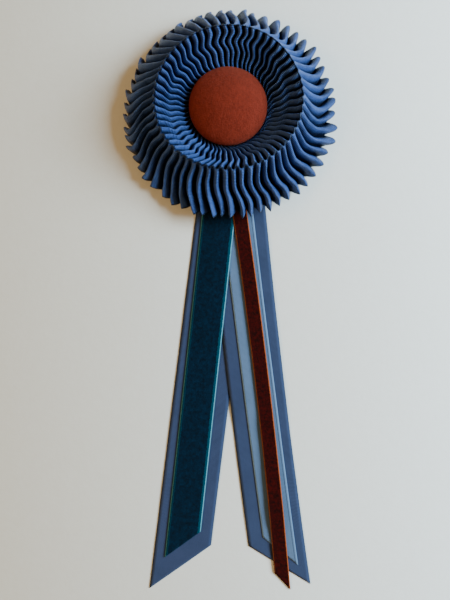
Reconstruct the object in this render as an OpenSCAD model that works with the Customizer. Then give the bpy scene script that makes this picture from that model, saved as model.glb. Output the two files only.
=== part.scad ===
// Ribbon rosette lying face up on the floor. A round felt button sits in a funnel of
// pleated blue ribbon, a second tier of pleats falls from the funnel's raised rim to
// the floor, and five ribbon tails run out from under the head towards -Y.
// The floor is z = 0, and the Z axis passes through the middle of the button.

/* [Button] */
// Widest radius of the felt button
button_r = 26.2; // [25:0.1:27]
// Height of the middle of the button above the floor
button_top = 27; // [25:0.5:29]
// Radius of the button's stem, inside the foot of the funnel
stem_r = 22.3; // [20:0.1:22.4]

/* [Pleats] */
// Number of pleats in each tier
pleats = 58; // [52:1:60]
// Largest change of a pleat's length at its tip
tip_wander = 1.4; // [0:0.1:2]
// Largest turn of a pleat's tip to one side, in degrees
tip_turn = 0.7; // [0:0.1:1]
// Height by which the lower hem is lifted over the tails
hem_lift = 6.1; // [5.8:0.1:8]
// Radial gap between the two tiers at the rim
rim_gap = 0.4; // [0.3:0.05:0.6]

/* [Backing] */
// Radius of the backing disc
disc_r = 44.5; // [40:0.5:45]
// Height of the disc's underside above the floor
disc_z = 2.5; // [2.3:0.1:3]
// Thickness of the disc
disc_t = 1.5; // [1:0.1:1.6]

/* [Pin] */
// Length of the pin's bar
bar_l = 38; // [30:1:50]
// Width of the pin's bar
bar_w = 6; // [5:0.5:8]
// Diameter of the needle
needle_d = 1; // [0.8:0.1:1.2]

/* [Tails] */
// Thickness of each ribbon tail
tail_t = 1; // [1:0.1:1]
// Clear height between one tail and the next above it
tail_gap = 0.2; // [0.1:0.05:0.2]

/* [Hidden] */
$fn = 96;

felt_rust = "#7a2c1c";
ribbon_blue = "#3f66a8";
tail_blue = "#3c4f7c";
tail_pale = "#6e8fb5";
velvet_teal = "#04303f";
velvet_rust = "#5a1606";
disc_grey = "#3a3f4a";
pin_steel = "#b8bcc0";

// Small height that keeps the soft pieces just clear of what they rest on
seat = 0.3;
disc_top = disc_z + disc_t;

function mix(a, b, share) = a + (b - a) * share;
function ease(share) = share * share * (3 - 2 * share);
function clamp01(value) = min(1, max(0, value));

// Button: the stem, the flare under the edge and the dome, as one turned profile
flare_from_z = 12;
flare_r = 25.1;
flare_z = 15.2;
edge_z = 17.5;
dome_steps = 10;
// Over 1, the dome falls away a little faster towards its edge than an ellipse
dome_fall = 1.05;

button_dome = [
    for (i = [1 : dome_steps])
        let (a = 90 * i / dome_steps)
        [button_r * cos(a), edge_z + (button_top - edge_z) * pow(sin(a), dome_fall)]
];
button_profile = concat(
    [
        [0, disc_top + seat], [stem_r, disc_top + seat], [stem_r, flare_from_z],
        [flare_r, flare_z], [button_r - 0.3, mix(flare_z, edge_z, 0.5)], [button_r, edge_z]
    ],
    button_dome
);

module centre_button() {
    color(felt_rust)
        rotate_extrude()
            polygon(button_profile);
}

// Pleats: each tier is a folded wall through the sections of its table. The funnel is
// almost straight, and the outer tier drops steeply from the rim and flattens out
// towards its tips, like a bell. A pleat has
// four columns of points: its crest, a shoulder, its valley and the next shoulder.
pitch = 360 / pleats;
columns = 4 * pleats;

// Columns of the tables below, in mm and degrees
CREST_R = 0;
CREST_Z = 1;
VALLEY_R = 2;
VALLEY_Z = 3;
// Height of the shoulder between the valley at 0 and the crest at 1
SHOULDER = 4;
// Turn of the section round the head, anticlockwise from above
SWAY = 5;
// Depth of the section from front to back, as a share of its width
SQUASH = 6;
// Sideways shift of the section's middle
SHIFT = 7;
// The wall's other side lies this far out and this far down
WALL_R = 8;
WALL_Z = 9;
// Shares of the hem's lift and of the tips' uneven lengths and turns
LIFT = 10;
UNEVEN = 11;

rim_crest = [46.5, 31.5];
rim_valley = [48.7, 28.2];
rim_squash = 0.957;

funnel_sections = [
    // crest r, z,  valley r, z, shoulder, sway, squash, shift, wall r, z, lift, uneven
    [22.8,  4.3,    23.8,  4.3,  0.5,  0.0,  1.000,  0.0,  1.4, 0.0,  0,  0],
    [24.6, 13.4,    26.6, 12.0,  0.5,  0.8,  1.000,  0.0,  1.5, 1.2,  0,  0],
    [30.0, 18.8,    31.4, 15.6,  0.5,  2.4,  0.990,  0.1,  0.8, 2.0,  0,  0],
    [38.0, 25.0,    39.6, 21.4,  0.5,  0.6,  0.975,  0.1,  0.3, 2.4,  0,  0],
    [rim_crest.x, rim_crest.y, rim_valley.x, rim_valley.y,
                                 0.5,  0.0, rim_squash,  0.0,  0.0, 2.4,  0,  0]
];

// The outer tier starts along the funnel's rim, where each fold turns inside out, so
// a crest of this tier starts at a valley of the funnel
outer_sections = [
    // crest r, z,  valley r, z, shoulder, sway, squash, shift, wall r, z, lift, uneven
    [rim_valley.x + rim_gap, rim_valley.y, rim_crest.x + rim_gap, rim_crest.y,
                                 0.50,  0.0, rim_squash,  0.0,  0.0, 2.4,  0.0,  0.0],
    [51.9, 24.8,    49.5, 18.9,  0.58, -1.6,  0.960,  0.3, -0.7, 2.8,  0.3,  0.2],
    [56.9, 18.2,    54.0, 11.2,  0.60, -3.0,  0.965,  0.8, -0.5, 2.8,  0.7,  0.5],
    [62.6, 12.8,    59.0,  7.0,  0.64, -1.8,  0.970,  1.2, -0.3, 2.6,  1.0,  0.8],
    [69.0,  8.5,    63.5,  4.2,  0.64, -0.4,  0.975,  1.6,  0.0, 2.2,  1.0,  1.0],
    [73.4,  6.0,    65.6,  2.2,  0.50, -0.3,  0.977,  1.85, 0.0, 1.9,  1.0,  1.0]
];

// Uneven lengths and turns, from two waves that don't repeat round the ring
function uneven_length(step) = tip_wander * (sin(137.5 * step) + sin(83 * step + 40)) / 2;
function uneven_turn(step) = tip_turn * (sin(101 * step + 20) + sin(59 * step)) / 2;

// The hem is lifted where it crosses the tails, round the direction of -Y
lift_centre = 271;
lift_full_half = 26;
lift_fade = 16;
function angle_from(a, b) = abs((a - b + 540) % 360 - 180);
function lift_share(turn) =
    ease(clamp01((lift_full_half + lift_fade - angle_from(turn, lift_centre)) / lift_fade));

function pleat_point(row, column, half_turn, lower) =
    let (
        step = column / 4 + half_turn / 2,
        part = column % 4,
        share = part == 0 ? 1 : part == 2 ? 0 : row[SHOULDER],
        turn = step * pitch + row[SWAY] + row[UNEVEN] * uneven_turn(step),
        r = mix(row[VALLEY_R], row[CREST_R], share)
            + (part == 0 ? row[UNEVEN] * uneven_length(step) : 0)
            + lower * row[WALL_R],
        z = mix(row[VALLEY_Z], row[CREST_Z], share)
            + hem_lift * row[LIFT] * lift_share(turn) - lower * row[WALL_Z]
    )
    [r * cos(turn) + row[SHIFT], r * sin(turn) * row[SQUASH], z];

// Closed folded wall through a table's sections; half_turn is 1 for a tier that is
// turned by half a pleat
module pleated_wall(sections, half_turn) {
    rows = len(sections);
    side = rows * columns;
    function at(lower, row, column) = lower * side + row * columns + column % columns;
    points = [
        for (lower = [0, 1], row = sections, column = [0 : columns - 1])
            pleat_point(row, column, half_turn, lower)
    ];
    // The cut across each four-sided cell runs the same way on both sides of a crest
    function cell(lower, row, column) =
        let (
            a = at(lower, row, column),
            b = at(lower, row, column + 1),
            c = at(lower, row + 1, column + 1),
            d = at(lower, row + 1, column)
        )
        column % 2 == 0 ? [[a, b, c], [a, c, d]] : [[a, b, d], [b, c, d]];
    function end_cell(row, column) =
        let (
            a = at(0, row, column),
            b = at(0, row, column + 1),
            c = at(1, row, column + 1),
            d = at(1, row, column)
        )
        [[a, b, c], [a, c, d]];
    function turned(face) = [face[2], face[1], face[0]];
    faces = [
        for (column = [0 : columns - 1]) each [
            for (row = [0 : rows - 2]) each cell(0, row, column),
            for (row = [0 : rows - 2], face = cell(1, row, column)) turned(face),
            for (face = end_cell(0, column)) turned(face),
            each end_cell(rows - 1, column)
        ]
    ];
    polyhedron(points, faces);
}

module inner_pleats() {
    color(ribbon_blue) pleated_wall(funnel_sections, 0);
}

module outer_pleats() {
    color(ribbon_blue) pleated_wall(outer_sections, 1);
}

module backing_disc() {
    color(disc_grey)
        translate([0, 0, disc_z]) cylinder(h = disc_t, r = disc_r);
}

// Pin: one fixed piece, with its bar under the disc and its needle against the floor
bar_t = 0.8;
bar_top = disc_z - 0.1;
block_l = 4;
block_w = 4;

module pin_bar() {
    color(pin_steel) {
        translate([-bar_l / 2, -bar_w / 2, bar_top - bar_t]) cube([bar_l, bar_w, bar_t]);
        for (end_x = [-bar_l / 2, bar_l / 2 - block_l])
            translate([end_x, -block_w / 2, 0]) cube([block_l, block_w, bar_top]);
        translate([-bar_l / 2 + block_l / 2, 0, needle_d / 2])
            rotate([0, 90, 0]) cylinder(h = bar_l - block_l, d = needle_d);
    }
}

// Tails: each is a ribbon of even width along a gently bent middle line, cut at a
// slant, with a side profile that steps down where the ribbon under it ends.
head_end_y = -30;
// The tails leave the disc's front face here and reach the floor here
disc_edge_y = -46;
floor_y = -60;
layer = tail_t + tail_gap;

// Columns of a tail's row: its middle line goes from the head end through the pull of
// the bend point to the foot
HEAD_X = 0;
BEND_X = 1;
FOOT_X = 2;
FOOT_Y = 3;
WIDTH = 4;
// Length by which the outer edge is longer than the inner one
SLANT = 5;
// Side of the outer edge, 1 to the right and -1 to the left
SIDE = 6;

blue_left = [2.2, -15.9, -33.7, -318.6, 39.6, 35.6, -1];
blue_right = [3.4, 16.3, 36.6, -317.4, 39.6, 32.8, 1];
pale_blue = [2.2, 18.2, 37.2, -307.4, 22.1, 22.7, 1];
teal_velvet = [-2.2, -17.0, -31.9, -302.4, 23.4, 21.0, -1];
rust_velvet = [2.5, 25.5, 38.6, -328.7, 10.3, 12.9, 1];

// Crossings of the tails, where an upper one comes down to the next layer
off_teal_y = [-84, -92];
off_pale_y = [-112, -120];
off_blue_right_y = [-155, -163];
off_blue_left_y = [-206, -216];
past_pale_foot_y = [-312.5, -315.5];
past_blue_foot_y = [-322.5, -326];

edge_steps = 8;

function middle(tail, t) =
    let (
        head = [tail[HEAD_X], head_end_y],
        foot = [tail[FOOT_X], tail[FOOT_Y]],
        bend = [tail[BEND_X], (head_end_y + tail[FOOT_Y]) / 2]
    )
    pow(1 - t, 2) * head + 2 * t * (1 - t) * bend + t * t * foot;

function heading(tail, t) =
    let (step = middle(tail, t + 0.01) - middle(tail, t - 0.01))
    step / norm(step);

function edge_point(tail, t, side) =
    let (
        along = heading(tail, t),
        outward = [-along.y, along.x] * side,
        reach = side == tail[SIDE] ? tail[SLANT] / 2 : -tail[SLANT] / 2
    )
    middle(tail, t) + outward * tail[WIDTH] / 2 + (t == 1 ? reach : 0) * along;

function tail_outline(tail) = concat(
    [for (i = [0 : edge_steps]) edge_point(tail, i / edge_steps, 1)],
    [for (i = [edge_steps : -1 : 0]) edge_point(tail, i / edge_steps, -1)]
);

// Line of a tail's underside from the head end: on the disc, down to its first layer,
// then one layer lower at each step in drops
function underside(first_layer, drops) = concat(
    [
        [head_end_y + 1, disc_top + seat + first_layer * layer],
        [disc_edge_y, disc_top + seat + first_layer * layer],
        [floor_y, first_layer * layer]
    ],
    [
        for (i = [0 : 1 : len(drops) - 1], half = [0, 1])
            [drops[i][half], (first_layer - i - half) * layer]
    ]
);

module ribbon_tail(tail, first_layer, drops) {
    far_y = tail[FOOT_Y] - tail[SLANT];
    line = underside(first_layer, drops);
    end_z = (first_layer - len(drops)) * layer;
    lower = concat(line, [[far_y, end_z]]);
    upper = [for (i = [len(lower) - 1 : -1 : 0]) lower[i] + [0, tail_t]];
    intersection() {
        linear_extrude(height = 3 * disc_top) polygon(tail_outline(tail));
        translate([-disc_r * 2, 0, 0])
            rotate([90, 0, 90]) linear_extrude(height = disc_r * 4) polygon(concat(lower, upper));
    }
}

module tail_blue_left() {
    color(tail_blue) ribbon_tail(blue_left, 0, []);
}

module tail_blue_right() {
    color(tail_blue) ribbon_tail(blue_right, 1, [off_blue_left_y]);
}

module tail_pale_blue() {
    color(tail_pale) ribbon_tail(pale_blue, 2, [off_blue_left_y]);
}

module tail_teal_velvet() {
    color(velvet_teal) ribbon_tail(teal_velvet, 3, [off_pale_y, off_blue_right_y]);
}

module tail_rust_velvet() {
    color(velvet_rust)
        ribbon_tail(rust_velvet, 4, [off_teal_y, off_blue_left_y, past_pale_foot_y, past_blue_foot_y]);
}

centre_button();
inner_pleats();
outer_pleats();
backing_disc();
pin_bar();
tail_blue_left();
tail_blue_right();
tail_pale_blue();
tail_teal_velvet();
tail_rust_velvet();
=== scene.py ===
import math
from collections import namedtuple

import bpy
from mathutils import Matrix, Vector, noise


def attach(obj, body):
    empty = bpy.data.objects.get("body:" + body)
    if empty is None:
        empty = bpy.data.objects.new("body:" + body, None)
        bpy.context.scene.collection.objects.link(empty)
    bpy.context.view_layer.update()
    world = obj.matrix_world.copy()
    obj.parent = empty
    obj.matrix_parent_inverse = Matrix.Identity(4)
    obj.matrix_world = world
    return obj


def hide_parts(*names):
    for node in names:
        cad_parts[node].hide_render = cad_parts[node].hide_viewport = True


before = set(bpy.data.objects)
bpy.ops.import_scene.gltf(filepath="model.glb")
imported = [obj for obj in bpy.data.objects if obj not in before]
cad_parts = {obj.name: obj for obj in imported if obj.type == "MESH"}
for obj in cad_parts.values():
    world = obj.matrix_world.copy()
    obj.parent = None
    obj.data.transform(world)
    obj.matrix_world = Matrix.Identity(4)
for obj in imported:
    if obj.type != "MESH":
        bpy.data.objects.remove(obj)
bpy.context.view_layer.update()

# Lengths are in millimetres, and times MM where Blender needs metres
MM = 0.001
SEED = Vector((7.3, 2.9, 5.1))


# Small tools

def mix(a, b, share):
    return a + (b - a) * share


def clamp(value):
    return min(1.0, max(0.0, value))


def ease(share):
    share = clamp(share)
    return share * share * (3 - 2 * share)


def wander(index, channel):
    """A steady random number, mostly from -1 to 1, for one pleat and one use."""
    return noise.noise(Vector((index * 1.37, channel * 11.7, 0.5)) + SEED) * 1.7


def smooth_row(rows, at):
    """The row at a place along a table whose first column is that place, on a smooth curve."""
    last = len(rows) - 1
    i = 0
    while i < last - 1 and rows[i + 1][0] < at:
        i += 1
    a, b = rows[i], rows[i + 1]
    before, after = rows[max(i - 1, 0)], rows[min(i + 2, last)]
    span = b[0] - a[0]
    s = clamp((at - a[0]) / span)
    out = []
    for c in range(1, len(a)):
        slope_a = (b[c] - before[c]) / (b[0] - before[0]) if i > 0 else (b[c] - a[c]) / span
        slope_b = (after[c] - a[c]) / (after[0] - a[0]) if i < last - 1 else (b[c] - a[c]) / span
        out.append(
            (2 * s**3 - 3 * s**2 + 1) * a[c] + (s**3 - 2 * s**2 + s) * span * slope_a
            + (3 * s**2 - 2 * s**3) * b[c] + (s**3 - s**2) * span * slope_b
        )
    return out


def round_row(rows, degrees):
    """The row at a direction round the head, from a table of equal steps of angle."""
    count = len(rows)
    place = (degrees % 360) / 360 * count
    i = int(place) % count
    s = place - int(place)
    p = [rows[(i + k) % count] for k in (-1, 0, 1, 2)]
    return [
        0.5 * (2 * p[1][c] + (p[2][c] - p[0][c]) * s
               + (2 * p[0][c] - 5 * p[1][c] + 4 * p[2][c] - p[3][c]) * s**2
               + (3 * p[1][c] - p[0][c] - 3 * p[2][c] + p[3][c]) * s**3)
        for c in range(1, len(p[0]))
    ]


def grid_faces(rows, columns, ring=False):
    """Faces of a grid of points held row by row; in a ring the last column meets the first."""
    faces = []
    for i in range(rows - 1):
        for k in range(columns if ring else columns - 1):
            here, below, after = i * columns, (i + 1) * columns, (k + 1) % columns
            faces.append((here + k, below + k, below + after, here + after))
    return faces


def mesh_object(name, points, faces, uvs=None):
    """A smooth-shaded mesh; uvs holds one pair for each point."""
    mesh = bpy.data.meshes.new(name)
    mesh.from_pydata([tuple(p) for p in points], [], faces)
    mesh.polygons.foreach_set("use_smooth", [True] * len(mesh.polygons))
    if uvs:
        layer = mesh.uv_layers.new(name="cloth")
        for loop in mesh.loops:
            layer.data[loop.index].uv = uvs[loop.vertex_index]
    mesh.update()
    obj = bpy.data.objects.new(name, mesh)
    bpy.context.scene.collection.objects.link(obj)
    return obj


def thicken(obj, thickness):
    """Thickens a sheet away from the side that its normals face."""
    solid = obj.modifiers.new("thickness", "SOLIDIFY")
    solid.thickness = thickness
    solid.offset = -1.0


# Materials

# The colour sockets of a Mix node by number, because its other kinds use the same names
MIX_A, MIX_B, MIX_RESULT = 6, 7, 2
# How often a wave texture repeats, in its own units
WAVE_PERIOD = math.tau / 20


def put_settings(made, settings):
    """Sets sockets by their names, with _ for a space, and properties by theirs."""
    for key, value in settings.items():
        socket = key.replace("_", " ")
        if socket in made.inputs:
            made.inputs[socket].default_value = value
        else:
            setattr(made, key, value)


def new_material(name, **settings):
    """A material, its tree and its shader with the settings."""
    mat = bpy.data.materials.new(name)
    mat.use_nodes = True
    shader = mat.node_tree.nodes["Principled BSDF"]
    put_settings(shader, settings)
    return mat, mat.node_tree, shader


def node(tree, kind, **settings):
    made = tree.nodes.new(kind)
    put_settings(made, settings)
    return made


def mapped(tree, source, scale=(1.0, 1.0, 1.0)):
    """Texture coordinates from UV or Object, stretched by scale."""
    coords = node(tree, "ShaderNodeTexCoord")
    stretch = node(tree, "ShaderNodeMapping", Scale=scale)
    tree.links.new(coords.outputs[source], stretch.inputs["Vector"])
    return stretch.outputs["Vector"]


def speckle(tree, vector, scale, detail=3.0, roughness=0.6):
    made = node(tree, "ShaderNodeTexNoise", Scale=scale, Detail=detail, Roughness=roughness)
    tree.links.new(vector, made.inputs["Vector"])
    return made.outputs["Fac"]


def ramp(tree, factor, stops):
    made = node(tree, "ShaderNodeValToRGB")
    elements = made.color_ramp.elements
    while len(elements) < len(stops):
        elements.new(0.5)
    for element, (place, colour) in zip(elements, stops):
        element.position = place
        element.color = (*colour, 1.0)
    tree.links.new(factor, made.inputs["Fac"])
    return made.outputs["Color"]


def math_node(tree, operation, *values):
    """Arithmetic on numbers and on other nodes' outputs."""
    made = node(tree, "ShaderNodeMath", operation=operation)
    for socket, value in zip(made.inputs, values):
        if isinstance(value, (int, float)):
            socket.default_value = value
        else:
            tree.links.new(value, socket)
    return made.outputs["Value"]


def separate(tree, vector, axis):
    made = node(tree, "ShaderNodeSeparateXYZ")
    tree.links.new(vector, made.inputs["Vector"])
    return made.outputs[axis]


def along_uv(tree, axis):
    return separate(tree, node(tree, "ShaderNodeTexCoord").outputs["UV"], axis)


def tinted(tree, colour, share, tone):
    """The colour, turned into the tone where the share is 1."""
    made = node(tree, "ShaderNodeMix", data_type="RGBA")
    tree.links.new(share, made.inputs["Factor"])
    tree.links.new(colour, made.inputs[MIX_A])
    made.inputs[MIX_B].default_value = (*tone, 1.0)
    return made.outputs[MIX_RESULT]


def bump(tree, shader, height, distance, strength, under=None):
    """Relief on a shader, on top of the relief under it where that is given."""
    made = node(tree, "ShaderNodeBump", Strength=strength, Distance=distance)
    tree.links.new(height, made.inputs["Height"])
    if under is not None:
        tree.links.new(under, made.inputs["Normal"])
    tree.links.new(made.outputs["Normal"], shader.inputs["Normal"])
    return made.outputs["Normal"]


def edge_line(tree, colour, axis, place, half, tone):
    """A slightly ragged line of another colour, its place in millimetres along UV X or Y."""
    away = math_node(tree, "ABSOLUTE", math_node(tree, "SUBTRACT", along_uv(tree, axis), place * MM))
    threads = speckle(tree, mapped(tree, "Object"), 900.0)
    ragged = math_node(tree, "MULTIPLY_ADD", threads, 2 * half * MM, away)
    inside = math_node(tree, "LESS_THAN", ragged, 2 * half * MM)
    return tinted(tree, colour, inside, tone)


def painted_furrow_shade(tree, colour, begins, full_at, tone):
    """Painted shade: the colour darkens towards the pinched furrows, where shade falls; UV Y is the
    distance from a fold's ridge.
    """
    share = node(tree, "ShaderNodeMapRange", From_Min=begins * MM, From_Max=full_at * MM)
    share.interpolation_type = "SMOOTHSTEP"
    tree.links.new(along_uv(tree, "Y"), share.inputs["Value"])
    return tinted(tree, colour, share.outputs["Result"], tone)


def ribbed_cloth(name, dark, light, roughness, sheen, tint, rib_pitch, relief, edges=(), furrows=None):
    """Ribbed ribbon: fine ribs across its length, relief millimetres deep, a faint mottle, lines along
    its edges, each (UV axis, place, half width, colour): woven edges on a tail, painted shade along a
    pleated hem. A pleated ribbon also gets painted shade in its furrows."""
    mat, tree, shader = new_material(
        name, Roughness=roughness, Sheen_Weight=sheen, Sheen_Roughness=0.45, Sheen_Tint=(*tint, 1.0),
        Specular_IOR_Level=0.45, Specular_Tint=(*tint, 1.0),
    )
    body = mapped(tree, "Object")
    wave = node(
        tree, "ShaderNodeTexWave", Scale=WAVE_PERIOD / (rib_pitch * MM), Distortion=0.6, Detail=1.0,
        bands_direction="X",
    )
    tree.links.new(mapped(tree, "UV"), wave.inputs["Vector"])
    ribs = wave.outputs["Fac"]
    mottled = math_node(tree, "MULTIPLY_ADD", ribs, 0.6, speckle(tree, body, 60.0, 4.0))
    colour = ramp(tree, mottled, [(0.4, dark), (1.0, light)])
    height = math_node(tree, "MULTIPLY_ADD", ribs, 0.7, speckle(tree, body, 2200.0, 2.0))
    bump(tree, shader, height, relief * MM, 0.9)
    # Painted shade in the pinched furrows
    if furrows:
        colour = painted_furrow_shade(tree, colour, *furrows)
    for edge in edges:
        colour = edge_line(tree, colour, *edge)
    tree.links.new(colour, shader.inputs["Base Color"])
    return mat


def felt(name, dark, light):
    """Felt: a fine cloud of two tones, drawn out along Y, under a nap of short fibres."""
    mat, tree, shader = new_material(
        name, Roughness=0.92, Sheen_Weight=0.04, Sheen_Roughness=0.6, Sheen_Tint=(0.95, 0.45, 0.32, 1.0),
        Specular_IOR_Level=0.10,
    )
    body = mapped(tree, "Object")
    cloud = speckle(tree, mapped(tree, "Object", (1.0, 0.4, 1.0)), 620.0, 6.0, 0.8)
    tree.links.new(ramp(tree, cloud, [(0.22, dark), (0.78, light)]), shader.inputs["Base Color"])
    fibres = node(tree, "ShaderNodeTexVoronoi", Scale=1100.0)
    tree.links.new(body, fibres.inputs["Vector"])
    nap = bump(tree, shader, speckle(tree, body, 520.0, 6.0, 0.75), 0.9 * MM, 0.8)
    bump(tree, shader, fibres.outputs["Distance"], 0.12 * MM, 0.5, nap)
    return mat


def velvet(name, dark, light, tint, sheen, edges):
    """Velvet: a mottled pile that shines a little at a slant, with woven edges."""
    mat, tree, shader = new_material(
        name, Roughness=0.95, Sheen_Weight=sheen, Sheen_Roughness=0.35, Sheen_Tint=(*tint, 1.0),
        Specular_IOR_Level=0.08,
    )
    body = mapped(tree, "Object")
    colour = ramp(tree, speckle(tree, body, 420.0, 4.0, 0.8), [(0.35, dark), (0.65, light)])
    bump(tree, shader, speckle(tree, body, 1500.0, 3.0), 0.25 * MM, 0.6)
    for edge in edges:
        colour = edge_line(tree, colour, *edge)
    tree.links.new(colour, shader.inputs["Base Color"])
    return mat


def steel(name):
    """Steel brushed along X."""
    mat, tree, shader = new_material(name, Metallic=1.0, Base_Color=(0.62, 0.63, 0.65, 1.0))
    brushed = speckle(tree, mapped(tree, "Object", (60.0, 1800.0, 1800.0)), 1.0, 4.0)
    smooth, rough = (0.25,) * 3, (0.5,) * 3
    tree.links.new(ramp(tree, brushed, [(0.0, smooth), (1.0, rough)]), shader.inputs["Roughness"])
    bump(tree, shader, brushed, 0.02 * MM, 0.4)
    return mat


def paper(name):
    """Pale paper with a painted light falloff: a little darker and warmer on the left, away from the key
    light, than on the right.
    """
    mat, tree, shader = new_material(name, Roughness=0.9)
    body = mapped(tree, "Object")
    grain = speckle(tree, body, 120.0, 8.0, 0.75)
    # Painted shade: the tone darkens and warms towards the left, away from the key light
    side = math_node(tree, "ADD", separate(tree, mapped(tree, "Object", (2.6, 1.0, 1.0)), "X"), 0.5)
    tones = [(0.1, (0.51, 0.465, 0.40)), (0.6, (0.66, 0.645, 0.62)), (1.0, (0.82, 0.83, 0.83))]
    mottled = math_node(tree, "MULTIPLY_ADD", grain, 0.16, side)
    tree.links.new(ramp(tree, mottled, tones), shader.inputs["Base Color"])
    bump(tree, shader, speckle(tree, body, 260.0, 5.0), 0.4 * MM, 0.25)
    return mat


# Camera, light and floor

# The camera looks straight down; one pixel of the photograph is 0.71 mm on the floor
CAMERA_AT = Vector((-2.05, -129.8, 307.0)) * MM
FOCAL_PIXELS = 433
PICTURE_HEIGHT_PIXELS = 600
SENSOR = 36.0

camera = bpy.data.objects.new("camera", bpy.data.cameras.new("camera"))
camera.data.sensor_width = SENSOR
camera.data.lens = SENSOR * FOCAL_PIXELS / PICTURE_HEIGHT_PIXELS
camera.data.clip_start = 0.01
camera.data.clip_end = 20.0
camera.location = CAMERA_AT
bpy.context.scene.collection.objects.link(camera)
bpy.context.scene.camera = camera

# Where the lights are turned to, between the head and the tails
LIT_MIDDLE = Vector((0.0, -60.0, 0.0)) * MM
# Columns: name; azimuth and elevation in degrees; distance, width and height in metres; watts;
# colour
LIGHTS = (
    ("key", 8, 30, 1.5, 0.90, 0.75, 86.0, (0.68, 0.89, 1.0)),
    ("fill", 188, 32, 1.4, 1.2, 0.5, 14.0, (1.0, 0.68, 0.33)),
)
ROOM_COLOUR = (1.0, 0.68, 0.32)
ROOM_STRENGTH = 0.26


def area_light(name, azimuth, elevation, distance, width, height, watts, colour):
    data = bpy.data.lights.new(name, "AREA")
    data.shape = "RECTANGLE"
    data.size, data.size_y = width, height
    data.energy = watts
    data.color = colour
    turn, rise = math.radians(azimuth), math.radians(elevation)
    toward = Vector((math.cos(rise) * math.cos(turn), math.cos(rise) * math.sin(turn), math.sin(rise)))
    lamp = bpy.data.objects.new(name, data)
    lamp.location = LIT_MIDDLE + toward * distance
    lamp.rotation_euler = toward.to_track_quat("Z", "Y").to_euler()
    bpy.context.scene.collection.objects.link(lamp)


for light in LIGHTS:
    area_light(*light)

world = bpy.data.worlds.new("room")
world.use_nodes = True
put_settings(world.node_tree.nodes["Background"], {"Color": (*ROOM_COLOUR, 1.0), "Strength": ROOM_STRENGTH})
bpy.context.scene.world = world

# The floor's half width in metres and its height, just under the part
FLOOR_HALF = 4.0
FLOOR_Z = -0.05 * MM

floor_corners = [(x * FLOOR_HALF, y * FLOOR_HALF, FLOOR_Z) for x, y in ((-1, -1), (1, -1), (1, 1), (-1, 1))]
floor = mesh_object("floor", floor_corners, [(0, 1, 2, 3)])
floor.data.materials.append(paper("pale_floor"))


# Pleats

PLEATS = 58
PITCH = 360 / PLEATS
# Places across half a pleat, from ridge to furrow, closer in the furrow's narrow crease
HALF_PLACES = (0.0, 0.13, 0.27, 0.41, 0.54, 0.66, 0.77, 0.86, 0.93, 0.975, 1.0)
COLUMNS = 2 * (len(HALF_PLACES) - 1)
CREASE_FROM = 0.68
LOWEST = 0.5
WRINKLE = 0.3
PLEAT_THICKNESS = 0.4
# The ribbon's width and about the width of cloth from ridge to furrow, for the UVs
RIBBON_WIDTH = 38
RIDGE_TO_FURROW = 7

# Columns: place from foot to rim; ridge radius and height; furrow radius and height;
# share of the half pitch that the ridge takes; sharpness from 0, round, to 1, creased;
# fullness from 0, an even wave, to 1, fat ridges with narrow furrows; how far the ridge
# leans over, as a share of the half pitch, anticlockwise from above; depth from front to
# back as a share of the width; sideways shift of the middle
FUNNEL_ROWS = (
    (0.00, 22.9, 4.5, 23.8, 4.5, 0.50, 0.3, 0.0, 0.0, 1.000, 0.0),
    (0.12, 23.8, 9.8, 25.8, 6.8, 0.52, 0.3, 0.1, 0.0, 1.000, 0.0),
    (0.25, 25.4, 13.6, 28.4, 9.8, 0.56, 0.2, 0.2, -0.1, 1.000, 0.0),
    (0.45, 30.4, 18.0, 33.8, 13.0, 0.60, 0.2, 0.2, -0.28, 0.992, 0.0),
    (0.70, 38.0, 24.2, 41.4, 18.8, 0.60, 0.2, 0.2, -0.30, 0.978, 0.0),
    (0.90, 43.8, 28.9, 46.3, 24.4, 0.57, 0.3, 0.2, -0.22, 0.962, 0.0),
    (0.97, 45.9, 30.8, 47.5, 27.0, 0.52, 0.4, 0.2, -0.1, 0.958, 0.0),
    (1.00, 46.8, 31.4, 48.2, 29.1, 0.50, 0.5, 0.2, 0.0, 0.957, 0.0),
)

# The same columns from rim to tips, and past 1 where the hem turns under
FALL_ROWS = (
    (0.00, 48.2, 29.1, 46.8, 31.4, 0.50, 0.5, 0.0, 0.00, 0.957, 0.0),
    (0.03, 48.8, 28.0, 47.4, 26.2, 0.50, 0.4, 0.3, 0.12, 0.957, 0.1),
    (0.08, 49.8, 26.4, 48.5, 20.6, 0.54, 0.3, 0.5, 0.26, 0.958, 0.2),
    (0.15, 51.8, 23.6, 49.9, 15.6, 0.56, 0.3, 0.6, 0.34, 0.960, 0.3),
    (0.35, 57.4, 17.4, 54.4, 8.8, 0.60, 0.2, 0.6, 0.20, 0.965, 0.7),
    (0.55, 62.6, 13.0, 59.0, 5.2, 0.62, 0.2, 0.6, -0.15, 0.970, 1.1),
    (0.75, 67.8, 9.6, 62.8, 3.2, 0.62, 0.2, 0.7, -0.36, 0.974, 1.5),
    (0.90, 71.4, 7.6, 65.0, 2.4, 0.60, 0.2, 0.7, -0.42, 0.976, 1.75),
    (1.00, 73.5, 6.2, 65.9, 2.0, 0.60, 0.2, 0.7, -0.42, 0.977, 1.85),
    (1.03, 73.3, 5.2, 66.0, 1.7, 0.58, 0.2, 0.7, -0.42, 0.977, 1.85),
    (1.06, 72.3, 4.6, 65.4, 1.7, 0.56, 0.2, 0.7, -0.42, 0.977, 1.85),
)

# Where the rows of points lie, closer at the fall's rim and hem
FUNNEL_STEPS = [i / 32 for i in range(33)]
FALL_STEPS = [0.0, 0.012] + [0.03 + 0.97 * i / 34 for i in range(35)] + [1.015, 1.03, 1.045, 1.06]

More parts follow.
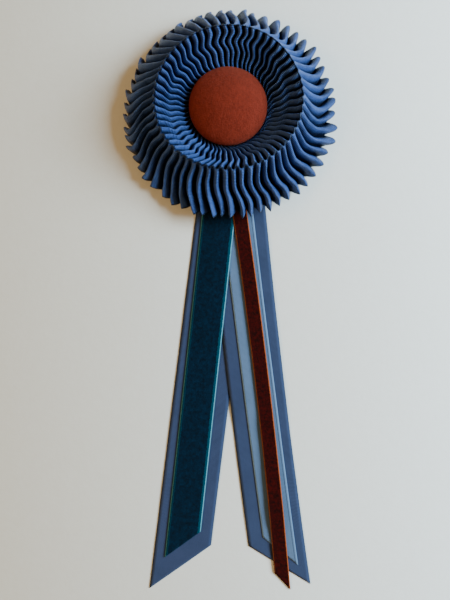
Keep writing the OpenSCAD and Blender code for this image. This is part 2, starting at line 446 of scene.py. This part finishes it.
# Sway of the funnel's folds in degrees, anticlockwise from above, every 30 degrees round the
# head. Columns: direction; sway at each of FUNNEL_STATIONS
FUNNEL_STATIONS = (0.25, 0.42, 0.58, 0.72, 0.88)
FUNNEL_SWAY = (
    (0, -10.6, -3.4, -2.4, 0.5, -0.6),
    (30, -11.8, -4.0, -3.5, 0.6, -0.1),
    (60, -9.1, -3.6, -3.7, 0.9, -0.9),
    (90, -5.6, -3.2, -2.7, 1.7, -1.6),
    (120, -2.9, 0.9, 0.6, 3.3, 0.4),
    (150, -0.1, 3.5, 2.7, 4.5, 0.0),
    (180, -2.1, 1.6, 1.6, 3.1, 1.6),
    (210, -3.6, 0.5, 0.5, 2.3, 0.3),
    (240, -1.2, 3.3, 3.2, 5.1, 2.8),
    (270, -5.2, 1.5, 2.4, 2.8, 0.2),
    (300, -10.4, -3.6, -1.6, 2.4, 1.3),
    (330, -7.3, -0.9, 0.1, 2.5, 1.5),
)

# The same for the outer fall
FALL_STATIONS = (0.30, 0.70, 1.00)
FALL_SWAY = (
    (0, -4.2, -0.5, 4.6),
    (30, -1.5, -0.6, 2.3),
    (60, -5.6, -0.5, 1.9),
    (90, 0.2, 5.0, 8.1),
    (120, 4.1, 8.3, 6.4),
    (150, 4.8, 7.7, 4.8),
    (180, 1.8, 7.8, 6.6),
    (210, -2.3, 2.9, 3.9),
    (240, -1.3, 3.9, 8.2),
    (270, 0.0, 3.6, 3.7),
    (300, -4.7, -2.0, -2.9),
    (330, -2.8, -0.2, 0.4),
)

# Every 30 degrees: how far the folds are moved along the ring, in degrees, and how much further
# out than the tables the rim and the hem are, in millimetres
AROUND = (
    (0, -1.0, 0.75, 0.9),
    (30, 2.4, 0.8, 1.0),
    (60, 3.4, 1.6, 0.6),
    (90, 0.2, 1.2, -0.8),
    (120, 0.6, 0.5, -1.4),
    (150, 1.0, 0.0, -0.3),
    (180, 1.5, 0.3, 1.2),
    (210, 0.8, 1.3, 2.5),
    (240, -1.6, 1.2, 2.8),
    (270, -2.4, 0.3, 2.4),
    (300, -1.0, 0.3, 2.1),
    (330, -2.0, 0.4, 1.0),
)

# The direction of the tails from the head, how far they reach to each side of it in degrees, and
# how far the hem is lifted over them
TAILS_AT = 271
TAILS_WITHIN = 42
HEM_LIFT = 6.1

# What makes one fold differ from the next: how much it sways, how much further it reaches, how
# much higher it stands and how it wobbles
Character = namedtuple("Character", "sway reach height wobble")


def fold_section(p, width, sharp, full):
    """Place across and height of a fold, p from 0 on the ridge to 1 in the furrow."""
    a = math.pi * p
    round_across = width * math.sin(a) if p <= 0.5 else 1 - (1 - width) * math.sin(a)
    flat_across = width * p / 0.5 if p <= 0.5 else width + (1 - width) * (p - 0.5) / 0.5
    fat_across = mix(p, math.sin(a / 2), 0.5)
    across = mix(mix(round_across, flat_across, sharp), fat_across, full)
    return across, mix(mix((1 + math.cos(a)) / 2, 1 - p, sharp), math.cos(a / 2), full)


def fold_angle(step):
    """Direction of a fold's ridge at the rim, with slightly uneven widths."""
    even = step * PITCH
    uneven = 0.3 * math.sin(step * 0.52 + 1.0) + 0.35 * math.sin(step * 1.9)
    return even + round_row(AROUND, even)[0] + uneven


def fold_character(index, row, salt):
    slow = noise.noise(Vector((index * 1.71, row * 4.5, salt)) + SEED)
    quick = noise.noise(Vector((index * 2.33, row * 11.0, salt + 5)) + SEED)
    return Character(
        1 + 0.18 * wander(index, salt), 1.5 * wander(index, salt + 1), 0.8 * wander(index, salt + 2),
        0.55 * slow + 0.2 * quick,
    )


def in_crease(half):
    """0 outside a furrow's narrow crease, 1 in the middle of it."""
    return ease((half - CREASE_FROM) / (1 - CREASE_FROM))


def hem_lift(degrees):
    """How far the hem is lifted where it crosses the tails."""
    away = abs((degrees - TAILS_AT + 540) % 360 - 180)
    return HEM_LIFT * ease((TAILS_WITHIN - away) / 16)


def facing(degrees, toward):
    """1 in one direction round the head, 0 in the opposite one."""
    return 0.5 + 0.5 * math.cos(math.radians(degrees - toward))


def sharp_tips(degrees):
    """How much sharper the tips are at the bottom than all round, where they are blunt."""
    return 0.8 * ease(2 * facing(degrees, 275) - 1)


def blunt(degrees):
    """How far the notches between the tips are filled, most at the upper left."""
    return 3.9 * ease(1.6 * facing(degrees, 140) - 0.35)


def nib(degrees):
    """Clockwise turn of the very tips, in degrees, most at the upper left."""
    return 3.2 * ease(2 * facing(degrees, 135) - 1)


def dome(degrees):
    """How much rounder the fall is than a bell, most at the upper left."""
    return 6.5 * ease(2 * facing(degrees, 140) - 1)


def lower_left(degrees):
    """Where the funnel's folds are fat, lean the other way and have the deepest creases."""
    return ease(2.5 * facing(degrees, 222) - 1.4)


def funnel_lean(degrees):
    """Share of the table's lean that the funnel's folds have, below 0 for the other way."""
    return 0.25 + 0.75 * math.cos(math.radians(degrees - 105)) - 0.6 * lower_left(degrees)


def fall_lean(degrees, row):
    """Share of the table's lean that the fall's tips have, which are even on the right."""
    return 1 - 0.9 * ease(2 * facing(degrees, 15) - 0.9) * ease((row - 0.5) / 0.3)


def zigzag(degrees, row):
    """Two short bends of the funnel's folds, in degrees, strongest at the left."""
    strength = 0.1 + 0.45 * ease(2 * facing(degrees, 185) - 1)
    return strength * math.sin(math.tau * (row - 0.3) / 0.3) * ease(8 * (1 - row)) * ease(5 * row)


def swing(bends, row, own, freedom):
    """Degrees that a fold is off its direction, with its own sway and wobble where it is free."""
    return smooth_row(bends, row)[0] * mix(1, own.sway, freedom) + own.wobble * freedom


def funnel_form(degrees, row, full, lean):
    """Added sharpness, fullness and lean of a funnel fold, and its crease's added depth."""
    deepest = lower_left(degrees) * ease(4 * row)
    return 0.0, mix(full, 0.4, deepest), lean * funnel_lean(degrees), 2.2 * deepest * ease(20 - 20 * row)


def fall_form(degrees, row, full, lean):
    """The same for a fold of the fall, where no crease is deeper than the others."""
    crisp = sharp_tips(degrees) * ease((row - 0.4) / 0.6)
    return crisp, full * (1 - crisp), lean * fall_lean(degrees, row), 0.0


def funnel_sway(angle, row, high, own):
    """Degrees that a point of the funnel is off its fold's direction, none at the rim."""
    marks = round_row(FUNNEL_SWAY, angle)
    bends = ((0.0, marks[0]), *zip(FUNNEL_STATIONS, marks), (1.0, 0.0))
    return swing(bends, row, own, math.sin(math.pi * row)) + zigzag(angle, row) * mix(1, own.sway, 0.5)


def fall_sway(angle, row, high, own):
    """The same for the fall, whose tips are turned too."""
    bends = ((0.0, 0.0), *zip(FALL_STATIONS, round_row(FALL_SWAY, angle)))
    return swing(bends, row, own, ease(row / 0.3)) - nib(angle) * ease((row - 0.85) / 0.15) * high


def funnel_place(levels, high, angle, row, own):
    """Radius and height of a point on the funnel, with no difference from fold to fold."""
    ridge_r, ridge_z, furrow_r, furrow_z = levels
    rim = round_row(AROUND, angle)[1]
    return mix(furrow_r, ridge_r, high) + rim * ease(row), mix(furrow_z, ridge_z, high)


def fall_place(levels, high, angle, row, own):
    """Radius and height of a point on the fall, whose folds differ more towards the hem."""
    ridge_r, ridge_z, furrow_r, furrow_z = levels
    rim, hem = round_row(AROUND, angle)[1:]
    notch_r = furrow_r + blunt(angle) * ease((row - 0.3) / 0.7)
    apart = ease((row - 0.1) / 0.9) * high
    r = mix(notch_r, ridge_r, high) + own.reach * apart + mix(rim, hem, clamp(row))
    z = mix(furrow_z, ridge_z, high) + own.height * apart
    return r, z + ease(row / 0.7) * hem_lift(angle) + dome(angle) * 4 * row * max(0, 1 - row)


# What a tier is made from: its table and rows of points; how far its folds are moved along the
# ring, as a share of a pleat; the seed of its folds' characters; the depth of its creases; and
# the functions for its folds' form, sway and place, which take the same values for both tiers
Tier = namedtuple("Tier", "table steps moved salt crease form sway place")
FUNNEL = Tier(FUNNEL_ROWS, FUNNEL_STEPS, 0.0, 0, 2.6, funnel_form, funnel_sway, funnel_place)
FALL = Tier(FALL_ROWS, FALL_STEPS, 0.5, 20, 1.4, fall_form, fall_sway, fall_place)


def across_pleat(k):
    """A column's place from ridge to furrow, its place along the pleat, and which of the pleat's
    two ridges, 0 or 1, it belongs to."""
    half = HALF_PLACES[min(k, COLUMNS - k)]
    return (half, half / 2, 0) if k <= COLUMNS / 2 else (half, 1 - half / 2, 1)


def tier_point(tier, row, profile, pleat, k, characters):
    """One point of a tier, in metres, at a column of a pleat between two folds' characters."""
    *levels, width, sharp, full, lean, squash, shift = profile
    half, along, ridge = across_pleat(k)
    start = pleat + tier.moved
    ridge_angle, furrow_angle = fold_angle(start + ridge), fold_angle(start + 0.5)
    crisp, fat, tilt, deeper = tier.form(ridge_angle, row, full, lean)
    across, high = fold_section(half, width, clamp(sharp + crisp), fat)
    angle = mix(ridge_angle, furrow_angle, across) + tilt * (1 - across) * PITCH / 2
    own = Character(*(mix(a, b, ease(along)) for a, b in zip(*characters)))
    r, z = tier.place(levels, high, angle, row, own)
    z -= (tier.crease + deeper) * in_crease(half) * ease(6 * row)
    z += WRINKLE * noise.noise(Vector((angle * 0.55, row * 6.0, tier.salt))) * ease(4 * row)
    turn = math.radians(angle + tier.sway(angle, row, high, own))
    return (r * math.cos(turn) + shift) * MM, r * math.sin(turn) * squash * MM, max(LOWEST, z) * MM


def pleated(name, tier, material_used):
    """A pleated tier. Its points run round the ring, row by row."""
    points, uvs = [], []
    for row in tier.steps:
        profile = smooth_row(tier.table, row)
        characters = [fold_character(k % PLEATS, row, tier.salt) for k in range(PLEATS + 1)]
        for pleat in range(PLEATS):
            for k in range(COLUMNS):
                points.append(tier_point(tier, row, profile, pleat, k, characters[pleat:pleat + 2]))
                uvs.append((row * RIBBON_WIDTH * MM, across_pleat(k)[0] * RIDGE_TO_FURROW * MM))
    obj = mesh_object(name, points, grid_faces(len(tier.steps), PLEATS * COLUMNS, ring=True), uvs)
    thicken(obj, PLEAT_THICKNESS * MM)
    obj.data.materials.append(material_used)
    return obj


# The dark line along the hem, at UV X 38.2 mm, is painted shade where the hem turns under, and the darker
# furrows are painted shade in the creases.
pleat_blue = ribbed_cloth(
    "pleated_blue", dark=(0.004, 0.012, 0.058), light=(0.049, 0.098, 0.302),
    roughness=0.34, sheen=0.03, tint=(0.50, 0.70, 1.0), rib_pitch=1.0, relief=0.6,
    edges=(("X", 38.2, 1.1, (0.004, 0.010, 0.036)),), furrows=(2.5, 4.7, (0.002, 0.006, 0.030)),
)
inner = pleated("inner_tier", FUNNEL, pleat_blue)
outer = pleated("outer_tier", FALL, pleat_blue)
# Width and length of the ribbon that each tier is pleated from
for piece, cad_node, flat in (
    (inner, "inner_pleats", (0.038, 0.85)),
    (outer, "outer_pleats", (0.038, 0.95)),
):
    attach(piece, "root")
    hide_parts(cad_node)


# Button

BUTTON_PROFILE = (
    # place along the profile, radius, height
    (0.00, 22.2, 4.6), (0.10, 22.2, 9.0), (0.20, 22.6, 11.4), (0.30, 24.2, 13.2),
    (0.38, 25.4, 14.7), (0.44, 26.1, 16.2), (0.50, 26.2, 17.7), (0.56, 25.3, 19.4),
    (0.64, 23.0, 21.5), (0.73, 19.0, 23.8), (0.82, 13.8, 26.0), (0.91, 7.2, 27.8), (1.00, 0.0, 28.5),
)
BUTTON_ROWS = 56
BUTTON_COLUMNS = 128


def button_points():
    """Rows of slightly uneven rings from the stem's foot up, then the top and the foot's middle."""
    points = []
    for i in range(BUTTON_ROWS):
        r, z = smooth_row(BUTTON_PROFILE, i / BUTTON_ROWS)
        for k in range(BUTTON_COLUMNS):
            turn = math.tau * k / BUTTON_COLUMNS
            x, y = r * math.cos(turn), r * math.sin(turn)
            lump = noise.noise(Vector((x * 0.09, y * 0.09, 4.0)))
            grow = 1 + 0.004 * lump
            points.append((x * grow * MM, y * grow * MM, (z + 0.25 * lump) * MM))
    foot_z, top_z = BUTTON_PROFILE[0][2], BUTTON_PROFILE[-1][2]
    return points + [(0.0, 0.0, top_z * MM), (0.0, 0.0, foot_z * MM)]


def button():
    """The domed button with its stem, closed at the top and at the foot."""
    faces = [(a, d, c, b) for a, b, c, d in grid_faces(BUTTON_ROWS, BUTTON_COLUMNS, ring=True)]
    last = (BUTTON_ROWS - 1) * BUTTON_COLUMNS
    top = last + BUTTON_COLUMNS
    for k in range(BUTTON_COLUMNS):
        after = (k + 1) % BUTTON_COLUMNS
        faces.append((last + k, last + after, top))
        faces.append((after, k, top + 1))
    obj = mesh_object("felt_button", button_points(), faces)
    obj.data.materials.append(felt("rust_felt", (0.070, 0.006, 0.002), (0.165, 0.019, 0.009)))
    return obj


centre = button()
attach(centre, "root")
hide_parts("centre_button")


# Tails

HEAD_END_Y = -30.0
STRIP_ROWS = 151
STRIP_COLUMNS = 17
# Share of a strip before the part that takes up the slant of its cut end
SLANT_FROM = 0.75

# A tail's middle line starts at head_x, bends towards bend_x and ends at foot_x and foot_y. At
# the cut end its outer edge, the left one where outer_side is -1, reaches further by slant
Tail = namedtuple("Tail", "head_x bend_x foot_x foot_y width slant outer_side thickness slot")
TAILS = {
    "tail_blue_left": Tail(2.2, -15.9, -33.7, -318.6, 39.6, 35.6, -1, 0.35, "blue_tail"),
    "tail_blue_right": Tail(3.4, 16.3, 36.6, -317.4, 39.6, 32.8, 1, 0.35, "blue_tail"),
    "tail_pale_blue": Tail(2.2, 18.2, 37.2, -307.4, 22.1, 22.7, 1, 0.35, "pale_tail"),
    "tail_teal_velvet": Tail(-2.2, -17.0, -31.9, -302.4, 23.4, 21.0, -1, 0.6, "teal_velvet"),
    "tail_rust_velvet": Tail(2.5, 25.5, 38.6, -328.7, 10.3, 12.9, 1, 0.6, "rust_velvet"),
}

# Height of each tail's underside along y, before its waves, from the foot to the head end; where
# a row holds two heights, they are for the left and the right edge
LEVELS = {
    "tail_blue_left": ((-340, 0.05), (-60, 0.05), (-46, 4.35), (-30, 4.35)),
    "tail_blue_right": ((-340, 0.05), (-222, 0.05), (-206, 0.6), (-60, 0.6), (-46, 5.4), (-30, 5.4)),
    "tail_pale_blue": ((-340, 0.5), (-222, 0.5), (-206, 1.05), (-60, 1.1), (-46, 6.5), (-30, 6.5)),
    "tail_teal_velvet": (
        (-340, 0.5), (-165, 0.5), (-153, 0.5, 1.05), (-122, 0.5, 1.1), (-108, 0.5, 1.6), (-60, 0.5, 1.6),
        (-46, 7.7), (-30, 7.7),
    ),
    "tail_rust_velvet": (
        (-340, 0.1), (-326, 0.1), (-320, 0.5), (-316, 0.6), (-311, 0.95), (-300, 1.2), (-280, 2.6),
        (-262, 2.4), (-235, 1.9), (-60, 1.95), (-46, 9.0), (-30, 9.0),
    ),
}


def level_at(levels, y, share):
    """Height at a place along y and across the width, eased from step to step."""
    rise = ease(share / 0.6)
    for (y_a, *low), (y_b, *high) in zip(levels, levels[1:]):
        if y <= y_b:
            start, end = mix(low[0], low[-1], rise), mix(high[0], high[-1], rise)
            return mix(start, end, ease((y - y_a) / (y_b - y_a)))
    return levels[-1][-1]


def middle_line(tail, t):
    """A tail's middle line, one gentle bend, with t from 0 at the head end to 1 at the foot."""
    a, b, c = (1 - t) ** 2, 2 * t * (1 - t), t * t
    bend_y = (HEAD_END_Y + tail.foot_y) / 2
    x = a * tail.head_x + b * tail.bend_x + c * tail.foot_x
    return Vector((x, a * HEAD_END_Y + b * bend_y + c * tail.foot_y))


def strip_point(name, t, share):
    """One point on top of a strip, t of the way along it and share of the way across it."""
    tail = TAILS[name]
    heading = (middle_line(tail, t + 0.005) - middle_line(tail, t - 0.005)).normalized()
    to_right = Vector((-heading.y, heading.x))
    side = share * 2 - 1
    reach = tail.outer_side * side * tail.slant / 2 * ease((t - SLANT_FROM) / (1 - SLANT_FROM))
    place = middle_line(tail, t) + to_right * side * tail.width / 2 + heading * reach
    drift = 0.105 * noise.noise(Vector((place.y * 0.02, side * 0.4, len(name) * 1.7)))
    wave = 0.22 * (0.5 + 0.5 * noise.noise(Vector((place.x * 0.05, place.y * 0.035, 3.0))))
    z = level_at(LEVELS[name], place.y, share) + wave + tail.thickness
    return (place.x + drift) * MM, place.y * MM, z * MM


def strip(name, material_used):
    """A tail as a thin sheet, with its UVs along and across it in metres."""
    tail = TAILS[name]
    length = HEAD_END_Y - tail.foot_y
    points, uvs = [], []
    for i in range(STRIP_ROWS):
        t = i / (STRIP_ROWS - 1)
        for k in range(STRIP_COLUMNS):
            share = k / (STRIP_COLUMNS - 1)
            points.append(strip_point(name, t, share))
            uvs.append((t * length * MM, share * tail.width * MM))
    obj = mesh_object(name.replace("tail_", "ribbon_"), points, grid_faces(STRIP_ROWS, STRIP_COLUMNS), uvs)
    thicken(obj, tail.thickness * MM)
    obj.data.materials.append(material_used)
    return obj


tail_looks = {
    "blue_tail": ribbed_cloth(
        "slate_blue_ribbon", dark=(0.010, 0.018, 0.050), light=(0.022, 0.034, 0.086),
        roughness=0.8, sheen=0.12, tint=(0.6, 0.75, 1.0), rib_pitch=0.8, relief=0.15,
        edges=(("Y", 0.2, 0.3, (0.010, 0.018, 0.045)), ("Y", 39.4, 0.3, (0.010, 0.018, 0.045))),
    ),
    "pale_tail": ribbed_cloth(
        "pale_blue_ribbon", dark=(0.052, 0.090, 0.165), light=(0.076, 0.130, 0.235),
        roughness=0.75, sheen=0.2, tint=(0.7, 0.85, 1.0), rib_pitch=0.8, relief=0.15,
        edges=(("Y", 0.3, 0.4, (0.14, 0.23, 0.37)), ("Y", 20.4, 0.3, (0.030, 0.052, 0.100)),
               ("Y", 21.8, 0.25, (0.09, 0.155, 0.27))),
    ),
    "teal_velvet": velvet(
        "teal_velvet", dark=(0.0001, 0.003, 0.008), light=(0.0007, 0.010, 0.026),
        tint=(0.02, 0.50, 0.75), sheen=0.16,
        edges=(("Y", 0.9, 0.9, (0.001, 0.020, 0.036)), ("Y", 0.25, 0.35, (0.040, 0.15, 0.19)),
               ("Y", 22.3, 1.2, (0.001, 0.035, 0.060)), ("Y", 23.1, 0.4, (0.070, 0.19, 0.24))),
    ),
    "rust_velvet": velvet(
        "rust_velvet", dark=(0.004, 0.0001, 0.0001), light=(0.036, 0.0008, 0.0003),
        tint=(0.8, 0.12, 0.04), sheen=0.05,
        edges=(("Y", 0.3, 0.35, (0.12, 0.030, 0.008)), ("Y", 10.0, 0.35, (0.25, 0.055, 0.012))),
    ),
}

for name, tail in TAILS.items():
    piece = strip(name, tail_looks[tail.slot])
    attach(piece, "root")
    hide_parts(name)


# Backing and pin

for name, material_used in (
    ("pin_bar", steel("pin_steel")),
    ("backing_disc", felt("backing_felt", (0.03, 0.035, 0.05), (0.05, 0.055, 0.075))),
):
    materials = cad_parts[name].data.materials
    materials.clear()
    materials.append(material_used)
